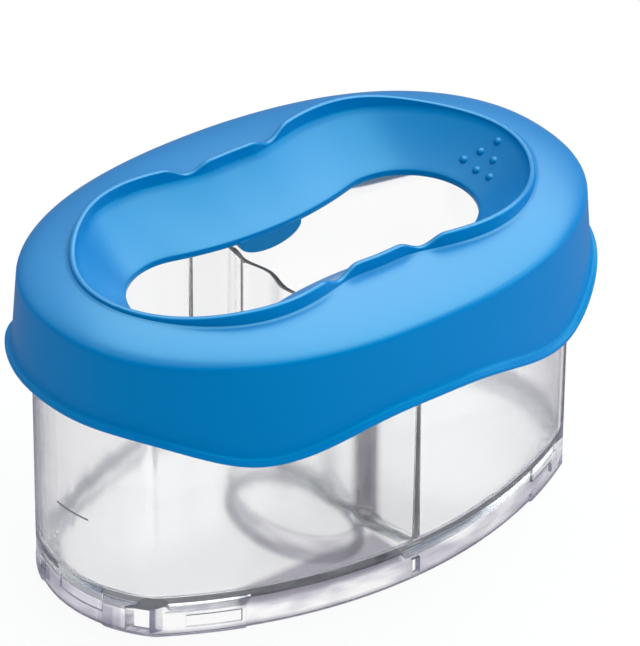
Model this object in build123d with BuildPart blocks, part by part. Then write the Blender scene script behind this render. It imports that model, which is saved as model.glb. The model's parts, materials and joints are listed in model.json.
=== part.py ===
"""Brush washer: a clear two-chamber tank with a lift-off funnel lid.  Millimetres, +Z up.

The origin is the centre of the tank's foot, X runs along the tank and -Y is its front.
"""
import os
from math import cos, hypot, pi, sin, sqrt

from build123d import *

# ---- tank -------------------------------------------------------------------------
tank_half_length = 61.0      # outside, at the rim
tank_half_width = 34.9
corner_x = 53.1              # where the long and the short side arcs meet
corner_y = 19.9
corner_radius = 3.0
tank_height = 62.0
tank_wall = 1.6
foot_inset = 0.5             # the foot is this much smaller all round than the wall
foot_height = 8.0
floor_top = 8.2
floor_thickness = 1.8
floor_fillet = 1.2
draft = 0.5                  # the tank's inside narrows by this from rim to floor

# ---- details of the foot ----------------------------------------------------------
slot_width = 4.2             # upright slots through the foot beside each corner
slot_middle_y = 16.9
window_length = 12.4         # sunk panel on each end
window_height = 6.0
window_depth = 1.0
window_middle_y = 3.9
window_bottom = 3.2
panel_length = 10.8          # sunk panels on the long sides
panel_height = 2.8
panel_depth = 1.0
panel_middle_x = 42.2
panel_bottom = 2.0
drain_width = 2.0            # opening in the foot under each end of the divider
drain_height = 4.0
drain_bottom = 0.6
mark_length = 8.0            # fill mark on each end
mark_height = 24.4
mark_thickness = 0.4
mark_stand_out = 0.25
mark_middle_y = 3.3

# ---- divider ----------------------------------------------------------------------
divider_top = 50.8
divider_thick_top = 0.9
divider_thick_foot = 1.7
crease_y = 23.8              # here the wavy part ends and the legs turn to the wall
wave = [(0.21, 0.7), (0.48, -0.4), (0.75, 0.9), (1.0, 0.4)]  # way out to the crease, swing
leg_x = 2.8                  # where the legs meet the wall

# ---- lid --------------------------------------------------------------------------
lid_half_length = 62.5       # at the shoulder
lid_half_width = 42.7
lid_squareness = 2.2
shoulder_height = 66.0
skirt_flare = 0.8            # the skirt is this much wider at its lower edge
skirt_wall = 1.3
edge_middle = 50.2           # height of the skirt's edge at the middle of each long side
edge_dip = 44.7              # and where it hangs lowest
edge_end = 50.7              # and at the two ends
dip_x = 37.5
dip_shape = 1.5              # over 1 keeps the middle flat for longer
flange_width = 1.5           # lip around the edge
flange_thickness = 1.3
slope = [(0.0, 0.0), (0.35, 0.17), (0.7, 0.39), (0.92, 0.68), (1.0, 1.0)]  # way out, way down

# ---- rim around the funnel --------------------------------------------------------
rim_mean = 37.0              # mean radius of its inner outline
rim_stretch = 14.2           # longer by this at the ends, narrower by this at the waist
rim_fullness = -0.45         # finer swings that round the lobes and flatten the waist
rim_flatness = 0.5
rim_wall = 1.3
rim_height = 73.2
rim_rise = 0.3               # the lobes' sides stand this much higher
rim_side_x = 22.0
rim_fall = 1.7               # and the ends this much lower
rim_base = 70.6              # where the outer slope meets the rim
notch_x = 10.4               # four rests for a brush
notch_half_width = 5.4
notch_depth = 1.9

# ---- funnel and its figure-eight opening ------------------------------------------
funnel_top = 70.7
funnel_bottom = 61.8
mouth_half_length = 40.9
mouth_lobe = 14.5
mouth_waist = 10.6
mouth_edge = 1.3             # upright band around the opening
funnel_wall = 1.5
tongue_half_width = 7.8
tongue_depth = 5.0
tongue_thickness = 1.3
nub_radius = 0.9
nub_rise = 0.45
nub_first_x = 44.2
nub_step_x = 2.7
nub_step_y = 4.2
NUB_ROWS = 3                 # three, two and one

# ---- how the lid sits on the tank -------------------------------------------------
seat_gap = 0.25
seat_inset = 0.2
collar_clearance = 0.4
collar_wall = 1.2
collar_depth = 4.0

OUTLINE_POINTS = 48
WAVE_POINTS = 40             # on each side of the middle
CLEAR = 20.0                 # cutting shapes run this far past what they cut
SEAM = 5                     # outlines start this many points round, away from the details
angles = [2 * pi * (i + SEAM) / OUTLINE_POINTS for i in range(OUTLINE_POINTS)]
rim_half_length = rim_mean + rim_stretch + rim_fullness + rim_flatness
os.makedirs("parts", exist_ok=True)


def oval(half_length, half_width):
    """Points of the lid's rounded outline."""
    n = lid_squareness
    points = []
    for t in angles:
        c, s = cos(t), sin(t)
        r = (abs(c / half_length) ** n + abs(s / half_width) ** n) ** (-1 / n)
        points.append((r * c, r * s))
    return points


def rim_outline(grow=0.0):
    """Points of the rim's waisted outline, moved outwards by grow."""
    points = []
    for t in angles:
        r = rim_mean + rim_stretch * cos(2 * t) + rim_fullness * cos(6 * t) + rim_flatness * cos(8 * t)
        dr = -2 * rim_stretch * sin(2 * t) - 6 * rim_fullness * sin(6 * t) - 8 * rim_flatness * sin(8 * t)
        nx, ny = r * cos(t) + dr * sin(t), r * sin(t) - dr * cos(t)
        size = hypot(nx, ny)
        points.append((r * cos(t) + grow * nx / size, r * sin(t) + grow * ny / size))
    return points


def mouth_outline(grow=0.0):
    """Points of the opening: two round lobes joined by a shallow waist."""
    length, lobe, waist = mouth_half_length + grow, mouth_lobe + grow, mouth_waist + grow
    centre = length - lobe
    bend = (centre ** 2 + waist ** 2 - lobe ** 2) / (2 * (lobe - waist))
    meet = centre * (1 - lobe / (lobe + bend))
    points = []
    for x_rim, y_rim in rim_outline():
        x = x_rim * length / rim_half_length
        if abs(x) > meet:
            y = sqrt(max(0.0, lobe ** 2 - (abs(x) - centre) ** 2))
        else:
            y = waist + bend - sqrt(bend ** 2 - x ** 2)
        points.append((x, y if y_rim > 0 else -y))
    return points


def between(inner, outer, share):
    """Outline part of the way from one outline to another."""
    return [(a + share * (c - a), b + share * (d - b)) for (a, b), (c, d) in zip(inner, outer)]


def smooth_section(points, height):
    with BuildSketch(Plane.XY.offset(height)) as section:
        with BuildLine():
            Spline(*points, periodic=True)
        make_face()
    return section.sketch


def barrel_corner(shrink):
    """Where the end arc and the side arc cross, once both are shrunk."""
    end_sag, side_sag = tank_half_length - corner_x, tank_half_width - corner_y
    end_radius = (end_sag ** 2 + corner_y ** 2) / (2 * end_sag)
    side_radius = (side_sag ** 2 + corner_x ** 2) / (2 * side_sag)
    end_centre, side_centre = tank_half_length - end_radius, tank_half_width - side_radius
    apart = hypot(end_centre, side_centre)
    ux, uy = -end_centre / apart, side_centre / apart
    along = ((end_radius - shrink) ** 2 - (side_radius - shrink) ** 2 + apart ** 2) / (2 * apart)
    across = sqrt((end_radius - shrink) ** 2 - along ** 2)
    return end_centre + along * ux - across * uy, along * uy + across * ux


def barrel_section(shrink, height):
    """Four arcs that meet in soft corners, shrunk evenly by shrink."""
    length, width = tank_half_length - shrink, tank_half_width - shrink
    x, y = barrel_corner(shrink)
    with BuildSketch(Plane.XY.offset(height)) as section:
        with BuildLine():
            ThreePointArc((x, -y), (length, 0), (x, y))
            ThreePointArc((x, y), (0, width), (-x, y))
            ThreePointArc((-x, y), (-length, 0), (-x, -y))
            ThreePointArc((-x, -y), (0, -width), (x, -y))
        make_face()
        fillet(section.vertices(), corner_radius)
    return section.sketch


def ease(x, start, end):
    """Rises softly from 0 at start to 1 at end."""
    share = min(1.0, max(0.0, (x - start) / (end - start)))
    return (1 - cos(pi * share)) / 2


def edge_level(x):
    """Height of the lid's scalloped lower edge."""
    dip = (edge_middle - edge_dip) * ease(x, 0, dip_x) ** dip_shape
    return edge_middle - dip + (edge_end - edge_dip) * ease(x, dip_x, lid_half_length)


def flange_level(x):
    """Height of the flange's upper side."""
    return edge_level(x) + flange_thickness


def rim_level(x):
    """Height of the rim's wavy top, with its brush rests."""
    fall = (rim_rise + rim_fall) * ease(x, rim_side_x, rim_half_length) ** 2
    rest = ease(x, notch_x - notch_half_width, notch_x) - ease(x, notch_x, notch_x + notch_half_width)
    return rim_height + rim_rise * ease(x, 0, rim_side_x) - fall - notch_depth * rest


def curtain(level_at, level):
    """Everything between a wavy line seen from the front and a flat level."""
    reach = lid_half_length + CLEAR
    steps = [reach * i / WAVE_POINTS for i in range(-WAVE_POINTS, WAVE_POINTS + 1)]
    points = [(x, level_at(abs(x))) for x in steps]
    with BuildPart() as block:
        with BuildSketch(Plane.XZ):
            with BuildLine():
                Spline(*points)
                Polyline(points[-1], (reach, level), (-reach, level), points[0])
            make_face()
        extrude(amount=reach, both=True)
    return block.part


# ======== tank =====================================================================
under_floor = floor_top - floor_thickness
foot_shrink = foot_inset + tank_wall


def skin(outer_shrink, inner_shrink, bottom, height):
    """A thin band that follows the barrel's outline."""
    with BuildPart() as band:
        extrude(barrel_section(outer_shrink, bottom), amount=height)
        extrude(barrel_section(inner_shrink, bottom), amount=height, mode=Mode.SUBTRACT)
    return band.part


with BuildPart() as cavity:
    loft([barrel_section(tank_wall + draft, floor_top), barrel_section(tank_wall, tank_height)], ruled=True)
    fillet(cavity.faces().sort_by(Axis.Z)[0].edges(), floor_fillet)

with BuildPart() as windows:
    add(skin(-window_depth, window_depth, window_bottom, window_height))
    with BuildSketch(Plane.XY):
        for end in (-1, 1):
            with Locations((end * tank_half_length, end * window_middle_y)):
                Rectangle(CLEAR, window_length)
    extrude(amount=tank_height, mode=Mode.INTERSECT)

with BuildPart() as panels:
    add(skin(-panel_depth, panel_depth, panel_bottom, panel_height))
    with BuildSketch(Plane.XY):
        for end in (-1, 1):
            with Locations((end * panel_middle_x, 0)):
                Rectangle(panel_length, 2 * tank_half_width)
    extrude(amount=tank_height, mode=Mode.INTERSECT)

with BuildPart() as marks:
    add(skin(-mark_stand_out, tank_wall / 2, mark_height, mark_thickness))
    with BuildSketch(Plane.XY):
        for end in (-1, 1):
            with Locations((end * tank_half_length, end * mark_middle_y)):
                Rectangle(CLEAR, mark_length)
    extrude(amount=tank_height, mode=Mode.INTERSECT)

with BuildPart() as tank:
    extrude(barrel_section(foot_inset, 0), amount=foot_height)
    extrude(barrel_section(0, foot_height), amount=tank_height - foot_height)
    add(cavity.part, mode=Mode.SUBTRACT)
    extrude(barrel_section(foot_shrink, 0), amount=under_floor, mode=Mode.SUBTRACT)
    with BuildSketch(Plane.XY):
        for side in (-1, 1):
            for end in (-1, 1):
                with Locations((end * corner_x, side * slot_middle_y)):
                    Rectangle(CLEAR / 2, slot_width)
    extrude(amount=under_floor, mode=Mode.SUBTRACT)
    with BuildSketch(Plane.XY.offset(drain_bottom)):
        for side in (-1, 1):
            with Locations((-side * leg_x, side * tank_half_width)):
                Rectangle(drain_width, CLEAR)
    extrude(amount=drain_height, mode=Mode.SUBTRACT)
    add(windows.part, mode=Mode.SUBTRACT)
    add(panels.part, mode=Mode.SUBTRACT)
    add(marks.part)
tank.part.label = "tank"
export_step(tank.part, "parts/tank.step")


# ======== divider ==================================================================
def divider_section(thickness, height):
    """The wavy wall seen from above, the same after half a turn."""
    half = thickness / 2
    reach = tank_half_width
    front = [(swing, -share * crease_y) for share, swing in wave]
    line = [(-x, -y) for x, y in reversed(front)] + [(0, 0)] + front
    left = [(x - half, y) for x, y in line]
    right = [(x + half, y) for x, y in line]
    with BuildSketch(Plane.XY.offset(height)) as section:
        with BuildLine():
            Spline(*left)
            Polyline(left[-1], (leg_x - half, -reach), (leg_x + half, -reach), right[-1])
            Spline(*reversed(right))
            Polyline(right[0], (half - leg_x, reach), (-half - leg_x, reach), left[0])
        make_face()
    return section.sketch


with BuildPart() as divider:
    loft([divider_section(divider_thick_foot, 0), divider_section(divider_thick_top, divider_top)], ruled=True)
    add(cavity.part, mode=Mode.INTERSECT)
divider.part.label = "divider"
export_step(divider.part, "parts/divider.step")

# ======== lid ======================================================================
skirt_low = edge_dip - flange_width
seat_bottom = tank_height + seat_gap
collar_bottom = tank_height - collar_depth
collar_shrink = tank_wall + collar_clearance
shell_top = funnel_top - funnel_wall


def lid_hull(shrink):
    """The slope and the skirt as one filled solid, shrunk all round by shrink."""
    top = rim_outline(rim_wall + shrink)
    side = oval(lid_half_length - shrink, lid_half_width - shrink)
    low = oval(lid_half_length + skirt_flare - shrink, lid_half_width + skirt_flare - shrink)
    drop = rim_base - shoulder_height
    with BuildPart() as hull:
        loft([smooth_section(between(top, side, out), rim_base - shrink - down * drop) for out, down in slope])
        loft([smooth_section(side, shoulder_height - shrink), smooth_section(low, skirt_low)], ruled=True)
    return hull.part


# the seat stands on the tank's rim, and the collar reaches down inside it
with BuildPart() as seat:
    extrude(barrel_section(seat_inset, seat_bottom), amount=rim_base - seat_bottom)
    extrude(barrel_section(collar_shrink, collar_bottom), amount=rim_base - collar_bottom)
    extrude(barrel_section(collar_shrink + collar_wall, collar_bottom), amount=CLEAR, mode=Mode.SUBTRACT)

with BuildPart() as funnel_shell:
    loft([smooth_section(rim_outline(rim_wall), shell_top),
          smooth_section(mouth_outline(funnel_wall), funnel_bottom - mouth_edge)], ruled=True)
    extrude(smooth_section(rim_outline(rim_wall), shell_top), amount=CLEAR)

with BuildPart() as tongues:
    for side in (-1, 1):
        with BuildSketch(Plane.XZ.offset(-side * (mouth_waist + funnel_wall / 2))):
            with Locations((0, funnel_bottom - mouth_edge)):
                Ellipse(tongue_half_width, tongue_depth - mouth_edge)
            with Locations((0, funnel_bottom + tongue_depth)):
                Rectangle(4 * tongue_half_width, 2 * tongue_depth, mode=Mode.SUBTRACT)
        extrude(amount=tongue_thickness / 2, both=True)

def funnel_level(x, y):
    """Height of the funnel near its +X end."""
    bend = rim_half_length + 4 * rim_stretch + 36 * rim_fullness + 64 * rim_flatness
    high = rim_half_length - y ** 2 * bend / (2 * rim_half_length ** 2)
    low = mouth_half_length - mouth_lobe + sqrt(mouth_lobe ** 2 - y ** 2)
    return funnel_bottom + (funnel_top - funnel_bottom) * (x - low) / (high - low)


with BuildPart() as nubs:
    for row in range(NUB_ROWS):
        x = nub_first_x + row * nub_step_x
        for place in range(NUB_ROWS - row):
            y = (place - (NUB_ROWS - 1 - row) / 2) * nub_step_y
            with Locations(Location((x, y, funnel_level(x, y) + nub_rise - nub_radius), (90, 0, 0))):
                Sphere(nub_radius)

# the hollow under the lid leaves the funnel, the seat and the tongues standing
with BuildPart() as under:
    add(lid_hull(skirt_wall))
    add(funnel_shell.part, mode=Mode.SUBTRACT)
    add(seat.part, mode=Mode.SUBTRACT)
    add(tongues.part, mode=Mode.SUBTRACT)

with BuildPart() as flange:
    extrude(smooth_section(oval(lid_half_length + skirt_flare + flange_width,
                                lid_half_width + skirt_flare + flange_width), skirt_low),
            amount=shoulder_height - skirt_low)
    add(lid_hull(skirt_wall / 2), mode=Mode.SUBTRACT)
    add(curtain(flange_level, 0), mode=Mode.INTERSECT)

with BuildPart() as lid:
    add(lid_hull(0))
    extrude(smooth_section(rim_outline(rim_wall), rim_base), amount=CLEAR)
    add(under.part, mode=Mode.SUBTRACT)
    loft([smooth_section(rim_outline(), funnel_top), smooth_section(mouth_outline(), funnel_bottom)],
         ruled=True, mode=Mode.SUBTRACT)
    extrude(smooth_section(rim_outline(), funnel_top), amount=CLEAR, mode=Mode.SUBTRACT)
    extrude(smooth_section(mouth_outline(), funnel_bottom), amount=-CLEAR, mode=Mode.SUBTRACT)
    add(flange.part)
    add(curtain(edge_level, 0), mode=Mode.SUBTRACT)
    add(curtain(rim_level, tank_height + 2 * CLEAR), mode=Mode.SUBTRACT)
    add(nubs.part)
lid.part.label = "lid"
export_step(lid.part, "parts/lid.step")
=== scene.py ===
# %% [markdown]
# # A brush washer: clear tank, wavy divider and a blue lift-off lid
#
# The exact solids come from the CAD frame: a tank, a divider that stands in it, and a lid that
# lifts straight up.  This script dresses that frame.  The lid is modelled again as one smooth
# skin, because its flowing outlines are what the eye follows, and every surface gets a material.

import json
from math import atan2, cos, hypot, pi, radians, sin, sqrt

import bmesh
import bpy
from mathutils import Matrix, Vector

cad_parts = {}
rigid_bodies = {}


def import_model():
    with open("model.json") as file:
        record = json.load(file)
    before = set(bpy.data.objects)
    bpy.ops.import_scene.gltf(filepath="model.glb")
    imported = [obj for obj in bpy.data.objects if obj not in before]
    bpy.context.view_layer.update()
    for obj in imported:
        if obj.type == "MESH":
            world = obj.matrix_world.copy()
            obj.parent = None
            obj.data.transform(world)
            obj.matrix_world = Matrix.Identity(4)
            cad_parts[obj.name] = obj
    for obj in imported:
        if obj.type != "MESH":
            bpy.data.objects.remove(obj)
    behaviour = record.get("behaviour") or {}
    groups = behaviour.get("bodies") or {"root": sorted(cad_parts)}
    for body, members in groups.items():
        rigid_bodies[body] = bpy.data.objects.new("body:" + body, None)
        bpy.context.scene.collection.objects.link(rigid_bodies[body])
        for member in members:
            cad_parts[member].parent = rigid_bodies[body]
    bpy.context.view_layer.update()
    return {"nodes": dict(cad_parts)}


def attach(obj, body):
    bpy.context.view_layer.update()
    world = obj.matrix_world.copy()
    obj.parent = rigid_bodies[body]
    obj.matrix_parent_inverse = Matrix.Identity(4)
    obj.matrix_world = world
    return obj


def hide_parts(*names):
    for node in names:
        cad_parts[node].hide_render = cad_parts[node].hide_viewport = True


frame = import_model()
MM = 0.001

# %% [markdown]
# ## The camera and the light
#
# A small product like this is shot from a long way off with a long lens, so that its sides stay
# nearly parallel.  The camera stands two metres away, to the left of the front, and looks down.

# %% The camera
AZIMUTH, ELEVATION, LEAN = radians(37.93), radians(32.10), -0.0089
DISTANCE, PIXEL = 2.1232, 0.0002          # metres, and metres per pixel at the rim
PICTURE_WIDTH, PICTURE_HEIGHT = 640, 646  # in pixels
RIM_AT = (303.8 - PICTURE_WIDTH / 2, 203.6 - PICTURE_HEIGHT / 2)    # the rim, from the picture's middle
RIM_MIDDLE = Vector((0, 0, 0.0728))

towards = Vector((-sin(AZIMUTH) * cos(ELEVATION), -cos(AZIMUTH) * cos(ELEVATION), sin(ELEVATION)))
level = Vector((cos(AZIMUTH), -sin(AZIMUTH), 0))
down = level.cross(towards)
right = level * cos(LEAN) + down * sin(LEAN)
up = level * sin(LEAN) - down * cos(LEAN)
focal = DISTANCE / PIXEL
back = (towards + right * (RIM_AT[0] / focal) - up * (RIM_AT[1] / focal)).normalized()
side = (right - back * right.dot(back)).normalized()
over = back.cross(side)

bpy.ops.object.camera_add(location=RIM_MIDDLE + towards * DISTANCE)
camera = bpy.context.object
camera.name = "camera"
camera.rotation_mode = "QUATERNION"
camera.rotation_quaternion = Matrix((side, over, back)).transposed().to_quaternion()
camera.data.sensor_width = 36
camera.data.lens = focal * camera.data.sensor_width / PICTURE_HEIGHT
camera.data.clip_start, camera.data.clip_end = 0.05, 50
bpy.context.scene.camera = camera
bpy.context.scene.view_settings.view_transform = "Standard"
print("lens", round(camera.data.lens, 1), "mm")

# %% [markdown]
# The floor is a sheet of white paper, here one large plane.  A shader tree is quicker to read
# when each node takes one line, so the functions that add a node and feed its inputs come first,
# and every material uses them.

# %% The floor, and the makers of shader nodes
bpy.ops.mesh.primitive_plane_add(size=6, location=(0, 0, 0))
floor = bpy.context.object
floor.name = "floor"


def feed(tree, node, inputs):
    """Gives a node's inputs, by name or number, a socket, a number or a colour each."""
    for key, value in dict(inputs).items():
        if isinstance(value, bpy.types.NodeSocket):
            tree.links.new(value, node.inputs[key])
        else:
            node.inputs[key].default_value = (*value, 1) if isinstance(value, tuple) else value


def add_node(tree, kind, inputs=(), **settings):
    """Adds a shader node, with its settings and inputs."""
    node = tree.nodes.new("ShaderNode" + kind)
    for name, value in settings.items():
        setattr(node, name, value)
    feed(tree, node, inputs)
    return node


def reckon(tree, operation, *terms):
    """A Math node."""
    return add_node(tree, "Math", enumerate(terms), operation=operation).outputs[0]


def rise(tree, socket, start, end, top=1.0, kind="LINEAR"):
    """From 0 to top while the socket goes from start to end."""
    inputs = {"Value": socket, "From Min": start, "From Max": end, "To Max": top}
    return add_node(tree, "MapRange", inputs, interpolation_type=kind).outputs["Result"]


def mixed(tree, share, first, second, blend_type="MIX"):
    """One colour laid over another."""
    inputs = {0: share, 6: first, 7: second}
    return add_node(tree, "Mix", inputs, data_type="RGBA", blend_type=blend_type).outputs[2]


def mixed_shaders(tree, share, first, second):
    """A shader that turns from the first to the second."""
    return add_node(tree, "MixShader", {0: share, 1: first.outputs[0], 2: second.outputs[0]})


def colour_ramp(tree, socket, *stops):
    """A Color Ramp between two stops, each a position and a colour."""
    ramp = add_node(tree, "ValToRGB", {"Fac": socket})
    for element, (position, colour) in zip(ramp.color_ramp.elements, stops):
        element.position, element.color = position, (*colour, 1)
    return ramp.outputs["Color"]


def noise(tree, vector, scale, detail):
    return add_node(tree, "TexNoise", {"Vector": vector, "Scale": scale, "Detail": detail}).outputs["Fac"]


def new_tree(name):
    """A new material's empty node tree, and the material."""
    material = bpy.data.materials.new(name)
    material.use_nodes = True
    material.node_tree.nodes.clear()
    return material.node_tree, material


print("floor", round(floor.dimensions.x, 1), "m wide")

# %% [markdown]
# White paper that is lit by lamps turns grey at its far end.  So most of the paper's white is a
# glow that only the camera, glossy faces and rays through the plastic see.  The rest is plain
# diffuse paper, which keeps the soft shadow.  What the plastic shows of the paper far away is
# dimmer, as it would be in a dark room.

# %% The paper
PAPER_GLOW = 0.89                          # how much of the paper's white doesn't depend on the lamps
CARD_NEAR, CARD_FAR = 0.13, 0.26           # the lit card under the washer fades out between these, in metres
FAR_PAPER, MIRRORED_PAPER = (0.14, 0.135, 0.17), (0.21, 0.22, 0.30)

tree, paper = new_tree("paper_floor")
distance = add_node(tree, "VectorMath", {0: add_node(tree, "TexCoord").outputs["Object"]}, operation="LENGTH")
near = rise(tree, distance.outputs["Value"], CARD_FAR, CARD_NEAR, kind="SMOOTHSTEP")
path = add_node(tree, "LightPath").outputs
glow_share = reckon(tree, "MULTIPLY_ADD", near, PAPER_GLOW - 1, 1.0)
seen = reckon(tree, "MULTIPLY", path["Is Camera Ray"], glow_share)
through = reckon(tree, "MULTIPLY", path["Is Transmission Ray"], glow_share)
near_through = reckon(tree, "MULTIPLY", path["Is Transmission Ray"], near)
bright = reckon(tree, "MAXIMUM", path["Is Camera Ray"], near_through)
dim = mixed(tree, path["Is Reflection Ray"], FAR_PAPER, MIRRORED_PAPER)
glow = add_node(tree, "Emission", {"Color": mixed(tree, bright, dim, (1.0, 1.0, 1.0))})
diffuse = add_node(tree, "BsdfDiffuse", {"Color": (0.9, 0.9, 0.9)})
glowing = reckon(tree, "MAXIMUM", reckon(tree, "MAXIMUM", seen, through), path["Is Glossy Ray"])
add_node(tree, "OutputMaterial", {"Surface": mixed_shaders(tree, glowing, diffuse, glow).outputs[0]})
floor.data.materials.append(paper)
print("paper glows", PAPER_GLOW, "near the washer")

# %% [markdown]
# The room is a world shader: darker at the horizon, lighter above.  Glossy faces get a room with
# more contrast, which draws the sheen on the lid, and the camera sees plain white.

# %% The room's light
world = bpy.data.worlds.new("white_room")
bpy.context.scene.world = world
world.use_nodes = True
tree = world.node_tree
tree.nodes.clear()
sky = add_node(tree, "TexCoord").outputs["Generated"]
height = add_node(tree, "SeparateXYZ", {0: sky}).outputs["Z"]
dome = colour_ramp(tree, height, (0.05, (0.27, 0.28, 0.36)), (0.75, (0.66, 0.70, 0.74)))
mirrored_dome = colour_ramp(tree, height, (0.1, (0.14, 0.14, 0.16)), (0.9, (1.0, 1.05, 1.0)))
path = add_node(tree, "LightPath").outputs
seen_dome = mixed(tree, path["Is Glossy Ray"], dome, mirrored_dome)
room = add_node(tree, "Background", {"Color": seen_dome, "Strength": 0.9})
backdrop = add_node(tree, "Background", {"Color": (1.0, 1.0, 1.0), "Strength": 1.0})
surface = mixed_shaders(tree, path["Is Camera Ray"], room, backdrop)
add_node(tree, "OutputWorld", {"Surface": surface.outputs[0]})
print("world with", len(tree.nodes), "nodes")

# %% [markdown]
# Three square lamps do the rest: a large key lamp high on the right, a weaker one in front and
# one low at the right that lifts the skirt's far end.  Large lamps give soft shadows.

# %% The lamps


def add_lamp(name, place, size, watts, colour):
    """A square soft lamp that looks at the washer."""
    bpy.ops.object.light_add(type="AREA", location=place)
    lamp = bpy.context.object
    lamp.name = name
    lamp.data.size = size
    lamp.data.energy = watts
    lamp.data.color = colour
    lamp.rotation_mode = "QUATERNION"
    lamp.rotation_quaternion = Vector(place).to_track_quat("Z", "Y")


add_lamp("key", (0.45, 0.15, 1.0), 1.4, 12.5, (0.9, 1.0, 0.95))
add_lamp("front", (0.2, -1.0, 0.9), 0.9, 3.0, (0.9, 1.0, 0.95))
add_lamp("side", (1.0, -0.6, 0.4), 0.7, 3.0, (0.9, 1.0, 1.15))
print(len(bpy.data.lights), "lamps")

# %% [markdown]
# ## Outlines of the lid
#
# The real lid is one injection-moulded shell.  Seen from above it is made of four outlines: a
# rounded oval for the skirt, a waisted loop for the rim, a smaller waisted loop for the mouth
# and the tank's barrel shape for the seat underneath.  Each is a small formula of the angle
# round the lid, so all rings of the skin have their points on the same spokes, and the faces
# between two rings are tidy quads.  All lengths are in millimetres.

# %% The skirt's oval and the rim's loop
SPOKES = 360
angles = [2 * pi * i / SPOKES for i in range(SPOKES)]
RIM_MEAN, RIM_STRETCH, RIM_FULLNESS, RIM_FLATNESS = 37.0, 14.2, -0.45, 0.5
RIM_LENGTH = RIM_MEAN + RIM_STRETCH + RIM_FULLNESS + RIM_FLATNESS


def oval(t, length, width, squareness=2.2):
    """A point of the skirt's rounded oval."""
    r = (abs(cos(t) / length) ** squareness + abs(sin(t) / width) ** squareness) ** (-1 / squareness)
    return r * cos(t), r * sin(t)


def rim(t, grow=0.0):
    """A point of the rim's waisted loop, moved outwards by grow."""
    r = RIM_MEAN + RIM_STRETCH * cos(2 * t) + RIM_FULLNESS * cos(6 * t) + RIM_FLATNESS * cos(8 * t)
    slope = -2 * RIM_STRETCH * sin(2 * t) - 6 * RIM_FULLNESS * sin(6 * t) - 8 * RIM_FLATNESS * sin(8 * t)
    nx, ny = r * cos(t) + slope * sin(t), r * sin(t) - slope * cos(t)
    size = hypot(nx, ny)
    return r * cos(t) + grow * nx / size, r * sin(t) + grow * ny / size


print("rim", round(2 * RIM_LENGTH, 1), "mm long")

# %% [markdown]
# The mouth is two round lobes, one over each chamber, and each side of its waist is one shallow
# arc that meets them without a corner.  The arc's radius follows from that condition.

# %% The mouth
MOUTH_LENGTH, MOUTH_LOBE, MOUTH_WAIST = 40.9, 14.5, 10.6


def mouth(t, grow=0.0):
    """A point of the mouth: two round lobes joined by a shallow waist."""
    length, lobe, waist = MOUTH_LENGTH + grow, MOUTH_LOBE + grow, MOUTH_WAIST + grow
    middle = length - lobe
    bend = (middle ** 2 + waist ** 2 - lobe ** 2) / (2 * (lobe - waist))
    meet = middle * (1 - lobe / (lobe + bend))
    x_rim, y_rim = rim(t)
    x = x_rim * length / RIM_LENGTH
    if abs(x) > meet:
        y = sqrt(max(0.0, lobe ** 2 - (abs(x) - middle) ** 2))
    else:
        y = waist + bend - sqrt(bend ** 2 - x ** 2)
    return x, y if y_rim > 0 else -y


print("mouth", 2 * MOUTH_LENGTH, "mm long")

# %% [markdown]
# The tank is barrel-shaped from above: four arcs that meet in four clear corners.  The outline
# is the nearer of the two arcs that a ray from the middle meets.

# %% The tank's barrel
TANK_LENGTH, TANK_WIDTH, CORNER_X, CORNER_Y = 61.0, 34.9, 53.1, 19.9    # half sizes


def ray_to_circle(t, cx, cy, radius):
    """How far a ray from the middle runs before it leaves a circle."""
    along = cx * cos(t) + cy * sin(t)
    return along + sqrt(along ** 2 + radius ** 2 - cx ** 2 - cy ** 2)


def barrel(t, shrink=0.0):
    """A point of the tank's barrel outline: two end arcs and two side arcs."""
    end_sag, side_sag = TANK_LENGTH - CORNER_X, TANK_WIDTH - CORNER_Y
    end = (end_sag ** 2 + CORNER_Y ** 2) / (2 * end_sag)
    flank = (side_sag ** 2 + CORNER_X ** 2) / (2 * side_sag)
    r = ray_to_circle(t, 0, (TANK_WIDTH - flank) * (1 if sin(t) > 0 else -1), flank - shrink)
    if abs(sin(t)) < 0.5:
        r = min(r, ray_to_circle(t, (TANK_LENGTH - end) * (1 if cos(t) > 0 else -1), 0, end - shrink))
    return r * cos(t), r * sin(t)


print("tank", 2 * TANK_LENGTH, "x", 2 * TANK_WIDTH, "mm")

# %% [markdown]
# Heights change on the way round too.  The skirt's lower edge is scalloped: it hangs low in the
# four corners and rises in the middle of each side and at the ends.  The rim's top dips in four
# places, where a wet brush is laid.  Half a cosine wave joins one height to the next.

# %% Heights of the wavy edges
EDGE_MIDDLE, EDGE_DIP, EDGE_END, DIP_X, EDGE_END_X = 50.2, 44.7, 50.7, 37.5, 62.5
RIM_HEIGHT, RIM_RISE, RIM_SIDE_X, RIM_FALL = 73.2, 0.3, 22.0, 1.7
REST_X, REST_HALF_WIDTH, REST_DEPTH = 10.4, 5.4, 1.9


def ease(x, start, end):
    """Rises softly from 0 at start to 1 at end."""
    share = min(1.0, max(0.0, (x - start) / (end - start)))
    return (1 - cos(pi * share)) / 2


def edge_level(x):
    """Height of the skirt's scalloped lower edge."""
    x = abs(x)
    dip = (EDGE_MIDDLE - EDGE_DIP) * ease(x, 0, DIP_X) ** 1.5
    return EDGE_MIDDLE - dip + (EDGE_END - EDGE_DIP) * ease(x, DIP_X, EDGE_END_X)


def rim_level(x):
    """Height of the rim's wavy top, with its brush rests."""
    x = abs(x)
    fall = (RIM_RISE + RIM_FALL) * ease(x, RIM_SIDE_X, RIM_LENGTH) ** 2
    rest = ease(x, REST_X - REST_HALF_WIDTH, REST_X) - ease(x, REST_X, REST_X + REST_HALF_WIDTH)
    return RIM_HEIGHT + RIM_RISE * ease(x, 0, RIM_SIDE_X) - fall - REST_DEPTH * rest


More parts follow.
